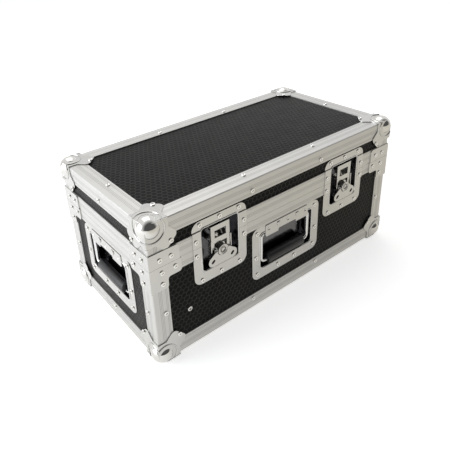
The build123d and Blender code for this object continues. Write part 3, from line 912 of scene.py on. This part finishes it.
def makeBar(wall):
    b = bar
    short = b["halfSpan"] - b["end"] - b["bend"]
    arm = b["axisUp"] - b["footUp"] - 2 * b["bend"]
    wide = 2 * (b["halfSpan"] - b["bend"])
    start, runs = (-b["end"], b["axisUp"]), (short, arm, wide, arm, short)
    rod = sweptTube(f"{wall}HandleBar", b["radius"], b["sides"], start, (-1, 0), runs, b["bend"])
    settle(rod, wallMatrix(wall, 0, 0, -b["depth"]))
    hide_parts(f"handle_{wall}_rod")
    return finishPiece(rod, f"{wall}_handle", barMetal)


def makeSleeve(wall):
    # a round sleeve made a little taller, because the grip fills the height of the recess
    half = grip["length"] / 2
    sleeve = drum(grip["radius"], -half, half, f"{wall}HandleGrip", grip["sides"])
    bevelFaces(sleeve, lambda centre, normal: abs(normal.z) > 0.9, grip["round"], 4)
    shape = Matrix.Diagonal((1, grip["taller"], 1, 1)) @ Matrix.Rotation(radians(90), 4, "Y")
    settle(sleeve, wallMatrix(wall, 0, bar["footUp"] + grip["rise"], -bar["depth"]) @ shape)
    smooth(sleeve, 40)
    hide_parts(f"handle_{wall}_grip")
    return finishPiece(sleeve, f"{wall}_handle", gripBlack)


# The rolled lips round the recesses, and a thin dark skin inside them that paints the recesses' shade
lip = {"radius": 1.8, "sides": 12, "sink": 1.0}
handleRecess = {"halfWidth": 62.8, "low": 77.6, "high": 148.6, "corner": 8.0, "depth": 16.0}
latchRecess = {
    "halfWidth": 36.7, "low": 132.6, "high": 211.2, "corner": 7.0, "depth": 13.0, "seam": 0.3
}
shadeLining = {"gap": 0.1, "thickness": 0.12, "mouth": -1.0}


def makeLip(wall, along, recess, low, high, openSide, body, name):
    # openSide is None for a whole frame, or the height at which the other half begins
    bend, half = recess["corner"], recess["halfWidth"]
    wide = 2 * (half - bend)
    closed = openSide is None
    if closed:
        side = high - low - 2 * bend
        start, runs = (-half, (low + high) / 2), (side / 2, wide, side, wide, side / 2)
    else:
        arm = high - low - bend
        start, runs = (-half, arm + bend), (arm, wide, arm)
    tube = sweptTube(name, lip["radius"], lip["sides"], start, (0, -1), runs, bend, closed)
    if not closed:
        # the open end is made upwards, and turned over for the upper half
        turn = Matrix.Rotation(radians(0 if openSide == high else 180), 4, "Z")
        edge = low if openSide == high else high
        tube.data.transform(Matrix.Translation((0, edge * mm, 0)) @ turn)
    settle(tube, wallMatrix(wall, along, 0, -lip["sink"]))
    return finishPiece(tube, body, zinc)


def makeShadeLining(wall, along, recess, low, high, openSide, body, name):
    # a thin dark skin just inside the recess, painted shade, open to the front and at the parting line
    gap, half, depth = shadeLining["gap"], recess["halfWidth"], recess["depth"]
    lower = low + gap if openSide != low else low
    upper = high - gap if openSide != high else high
    shell = block((gap - half, lower, gap - depth), (half - gap, upper, shadeLining["mouth"]), name)

    def atOpenSide(y, within):
        return openSide is not None and abs(y / mm - openSide) < within

    def rounded(first, second):
        return alongZ(first, second) and not atOpenSide(first.y, 1)

    def opened(centre, normal):
        return normal.z > 0.9 or atOpenSide(centre.y, 0.01)

    roundEdges(shell, rounded, recess["corner"] - gap, 5)
    editFaces(shell, opened)
    bpy.ops.mesh.delete(type="FACE")
    toObject()
    skin = shell.modifiers.new("skin", "SOLIDIFY")
    skin.thickness = shadeLining["thickness"] * mm
    skin.offset = -1
    applyModifiers(shell)
    settle(shell, wallMatrix(wall, along))
    recalculate(shell)
    smooth(shell, 40)
    return finishPiece(shell, body, paintedShadeMetal)


# Handle hinge plates, with three pressed dimples and two spring clips
cover = {
    "half": 50.0,
    "low": 138.2,
    "high": 160.0,
    "back": -0.4,
    "front": 0.8,
    "round": 3.0,
    "soften": 0.3,
    "notch": 21.0,
    "notchTop": 143.2,
    "notchBelow": 1.0,
    "notchDepth": 5.0,
    "dimples": (-43.0, 1.0, 43.0),
    "dimpleUp": 152.0,
    "dimpleBall": 5.2,
    "dimpleDepth": 1.15,
}
clip = {"places": (-20.0, 24.0), "up": 152.5, "half": 4.2, "rise": 1.4, "round": 0.8, "soften": 0.7}
lug = {
    "inner": 39.5, "outer": 46.5, "low": 137.6, "high": 148.3, "depth": 10.9,
    "bore": 3.55, "boreHalf": 60.0, "soften": 0.4,
}


def makeCover(wall):
    c = cover
    name = f"{wall}HandleCover"
    plate = block((-c["half"], c["low"], c["back"]), (c["half"], c["high"], c["front"]), name)
    roundEdges(plate, alongZ, c["round"], 4)
    notch = block(
        (-c["notch"], c["low"] - c["notchBelow"], -c["notchDepth"]),
        (c["notch"], c["notchTop"], c["notchDepth"]),
        "notch",
    )
    roundEdges(notch, alongZ, c["round"], 4)
    combine(plate, notch, "DIFFERENCE")
    out = c["front"] + c["dimpleBall"] - c["dimpleDepth"]
    for x in c["dimples"]:
        combine(plate, sphere(c["dimpleBall"], 32, 32, (x, c["dimpleUp"], out)), "DIFFERENCE")
    softenEdges(plate, c["soften"])
    pieces = [plate]
    half, up = clip["half"], clip["up"]
    for x in clip["places"]:
        spring = block((x - half, up - half, 0), (x + half, up + half, c["front"] + clip["rise"]), "clip")
        roundEdges(spring, alongZ, clip["round"] * half, 5)
        softenEdges(spring, clip["soften"])
        pieces.append(spring)
    hinge = Matrix.Translation((0, bar["axisUp"] * mm, -bar["depth"] * mm))
    for side in (-1, 1):
        low, high = sorted((side * lug["inner"], side * lug["outer"]))
        ear = block((low, lug["low"], -lug["depth"]), (high, lug["high"], 0), "lug")
        bore = drum(lug["bore"], -lug["boreHalf"], lug["boreHalf"], "bore")
        bore.data.transform(hinge @ Matrix.Rotation(radians(90), 4, "Y"))
        combine(ear, bore, "DIFFERENCE")
        softenEdges(ear, lug["soften"])
        pieces.append(ear)
    whole = joined(pieces, name)
    smooth(whole, 20)
    return settle(whole, wallMatrix(wall))


# The spring round each handle's hinge, on its own thin rod
coil = {
    "inner": 9.0, "outer": 25.0, "rings": 9, "radius": 2.7, "wire": 0.75, "segments": 20, "sides": 6,
    "rod": 1.5, "rodHalf": 27.0,
}


def makeSprings(wall):
    c = coil
    rod = drum(c["rod"], -c["rodHalf"], c["rodHalf"], "springRod", 16)
    smooth(rod, 40)
    pieces = [rod]
    for side in (-1, 1):
        for index in range(c["rings"]):
            place = side * (c["inner"] + (c["outer"] - c["inner"]) * index / (c["rings"] - 1))
            turn = hoop(c["radius"], c["wire"], c["segments"], c["sides"], (0, 0, place))
            smooth(turn, 60)
            pieces.append(turn)
    springs = joined(pieces, f"{wall}HandleSprings")
    springs.data.transform(Matrix.Rotation(radians(90), 4, "Y"))
    settle(springs, wallMatrix(wall, 0, bar["axisUp"], -bar["depth"]))
    return finishPiece(springs, "base", barMetal)


covers = []
for wall in ("front", "left", "right"):
    makeBar(wall)
    makeSleeve(wall)
    recess = (handleRecess["low"], handleRecess["high"], None, "base")
    makeLip(wall, 0, handleRecess, *recess, f"{wall}HandleLip")
    makeShadeLining(wall, 0, handleRecess, *recess, f"{wall}HandleLining")
    makeSprings(wall)
    covers.append(makeCover(wall))
handleCovers = joined(covers, "handleCovers")
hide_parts("handle_covers")
finishPiece(handleCovers, "base", zinc)
print("handles made")

# Latches: the recess in two halves, and the round head with its rings
spindle = {
    "up": 161.6,
    "head": 9.3,
    "headBack": 4.7,
    "headFront": 6.3,
    "headRound": 0.35,
    "rings": ((1.1, -0.7), (1.6, 0.55), (2.2, 0.0), (0.5, -0.9)),
    "shaft": 4.0,
    "shaftBack": -12.95,
    "cam": 8.0,
    "camUp": 3.75,
    "camFront": 0.4,
    "camBack": -5.0,
}


def makeSpindle(side, along):
    s = spindle
    head = drum(s["head"], s["headBack"], s["headFront"], f"{side}LatchSpindle", 40)
    bevelFaces(head, facingOut, s["headRound"], 2)
    editFaces(head, flatTop(s["headFront"]))
    for width, rise in s["rings"]:
        stepFace(width, rise)
    toObject()
    shaft = drum(s["shaft"], s["shaftBack"], s["headBack"], "shaft", 24)
    disc = drum(s["cam"], s["camBack"], s["camFront"], "disc", 40, (0, s["camUp"]))
    for piece in (head, shaft, disc):
        smooth(piece, 35)
    whole = joined([head, shaft, disc], f"{side}LatchSpindle")
    settle(whole, wallMatrix("front", along, s["up"]))
    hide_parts(f"latch_{side}_spindle")
    return finishPiece(whole, f"{side}_spindle", zinc)


for side, along in latchAlong.items():
    seam = case["parting"]
    base = (latchRecess["low"], seam, seam, "base")
    seam += latchRecess["seam"]
    lid = (seam, latchRecess["high"], seam, "lid")
    makeLip("front", along, latchRecess, *base, f"{side}LatchLowerLip")
    makeLip("front", along, latchRecess, *lid, f"{side}LatchUpperLip")
    makeShadeLining("front", along, latchRecess, *base, f"{side}LatchLowerLining")
    makeShadeLining("front", along, latchRecess, *lid, f"{side}LatchUpperLining")
    makeSpindle(side, along)
print("latches made")

# The eyelet on the front panel
eyelet = {
    "along": 62.6, "up": 72.3, "radius": 4.2, "height": 1.2, "round": 0.5, "well": 2.0, "wellDepth": 1.1
}


def makeEyelet():
    e = eyelet
    ring = drum(e["radius"], 0, e["height"], "frontEyelet", 28)
    bevelFaces(ring, facingOut, e["round"], 3)
    editFaces(ring, flatTop(e["height"]))
    stepFace(e["radius"] - e["round"] - e["well"], -e["wellDepth"])
    toObject()
    smooth(ring, 40)
    along, up = e["along"] - case["halfLength"], case["foot"] + e["up"]
    settle(ring, wallMatrix("front", along, up, -case["sheet"]))
    return finishPiece(ring, "base", zinc)


makeEyelet()
print("eyelet made")

# Camera, at the place and lens that the case's straight edges give in the photograph
camera = {
    "place": (-0.52828, -0.62865, 0.61547),
    "right": (0.8022, -0.5939, -0.0611),
    "up": (0.3025, 0.3162, 0.8992),
    "view": (0.5147, 0.7398, -0.4333),
    "lens": 39.87,
    "sensor": 36.0,
    "shift": (0.0739, -0.1485),
}


def makeCamera():
    data = bpy.data.cameras.new("camera")
    data.sensor_width = camera["sensor"]
    data.lens = camera["lens"]
    data.shift_x, data.shift_y = camera["shift"]
    eye = bpy.data.objects.new("camera", data)
    bpy.context.scene.collection.objects.link(eye)
    backward = tuple(-v for v in camera["view"])
    turn = Matrix((camera["right"], camera["up"], backward)).transposed().to_4x4()
    eye.matrix_world = Matrix.Translation(camera["place"]) @ turn
    bpy.context.scene.camera = eye


lamps = {
    "key": {"place": (-2.5, 0.7, 0.8), "size": 1.8, "power": 51.0, "colour": (0.93, 0.97, 1.0)},
    "overhead": {"place": (0.2, 0.9, 2.2), "size": 2.0, "power": 12.0, "colour": (1.0, 0.99, 0.96)},
}
lampAim = (0, 0, 0.12)


def makeLamps():
    for name, lamp in lamps.items():
        data = bpy.data.lights.new(name, "AREA")
        data.shape = "SQUARE"
        data.size = lamp["size"]
        data.energy = lamp["power"]
        data.color = lamp["colour"]
        made = bpy.data.objects.new(name, data)
        bpy.context.scene.collection.objects.link(made)
        place = Vector(lamp["place"])
        turn = (Vector(lampAim) - place).to_track_quat("-Z", "Y").to_matrix().to_4x4()
        made.matrix_world = Matrix.Translation(place) @ turn


def seenDirectly(rays):
    # 1 for rays from the camera and from mirroring or clear surfaces, 0 for the rest
    tree = rays.id_data
    seen = mathNode(tree, "MAXIMUM", rays.outputs["Is Camera Ray"], rays.outputs["Is Glossy Ray"])
    return mathNode(tree, "MAXIMUM", seen, rays.outputs["Is Transmission Ray"])


def mirroredShade(rays, direction, shade):
    # how far a place lies towards the shaded side, from 0 to 1, and only for mirroring surfaces
    tree = rays.id_data
    along = vectorNode(tree, "DOT_PRODUCT", direction, shade["towards"])
    amount = mathNode(tree, "MULTIPLY_ADD", along, shade["slope"], shade["start"], clamp=True)
    return mathNode(tree, "MULTIPLY", amount, rays.outputs["Is Glossy Ray"])


# The shaded part of the room's floor, in front and to the right, as polished metal mirrors it
dimFloor = {
    "towards": (0.77, -0.64, 0.0),
    "slope": 1.5,
    "start": 0.45,
    "depth": 0.45,
    "colour": (0.80, 0.75, 0.63),
}
paleFloor = {"size": 14, "glow": 0.5, "roughness": 0.9, "colour": (0.93, 0.93, 0.93)}


def makeFloor():
    clearSelection()
    bpy.ops.mesh.primitive_plane_add(size=paleFloor["size"], location=(0, 0, 0))
    floor = bpy.context.object
    floor.name = "floor"
    material, tree, shader = newMaterial("paleFloor", Roughness=paleFloor["roughness"])
    shader.inputs["Emission Color"].default_value = (1, 1, 1, 1)
    rays = tree.nodes.new("ShaderNodeLightPath")
    dim = mirroredShade(rays, coordinates(tree)["Object"], dimFloor)
    loss = mathNode(tree, "MULTIPLY", dim, dimFloor["depth"])
    lit = mathNode(tree, "SUBTRACT", seenDirectly(rays), loss)
    glow = mathNode(tree, "MULTIPLY", lit, paleFloor["glow"])
    tree.links.new(glow, shader.inputs["Emission Strength"])
    colour = mixNode(tree, "RGBA", dim, (*paleFloor["colour"], 1), (*dimFloor["colour"], 1))
    tree.links.new(colour, shader.inputs["Base Color"])
    floor.data.materials.append(material)


# The unlit end of the studio, which polished metal mirrors
darkSide = {"towards": (-0.05, -0.95, 0.25), "slope": 2.4, "start": -0.55, "depth": 0.9}
skyLevel = 0.5


def makeWorld():
    world = bpy.data.worlds.new("studio")
    bpy.context.scene.world = world
    world.use_nodes = True
    tree = world.node_tree
    sky = tree.nodes["Background"]
    sky.inputs["Color"].default_value = (1, 1, 1, 1)
    rays = tree.nodes.new("ShaderNodeLightPath")
    shade = mirroredShade(rays, coordinates(tree)["Generated"], darkSide)
    level = mathNode(tree, "MULTIPLY_ADD", seenDirectly(rays), 1 - skyLevel, skyLevel)
    loss = mathNode(tree, "MULTIPLY", shade, darkSide["depth"])
    tree.links.new(mathNode(tree, "SUBTRACT", level, loss), sky.inputs["Strength"])


makeCamera()
makeLamps()
makeFloor()
makeWorld()
bpy.context.scene.view_settings.view_transform = "Standard"
print("camera, lamps, floor and world made")
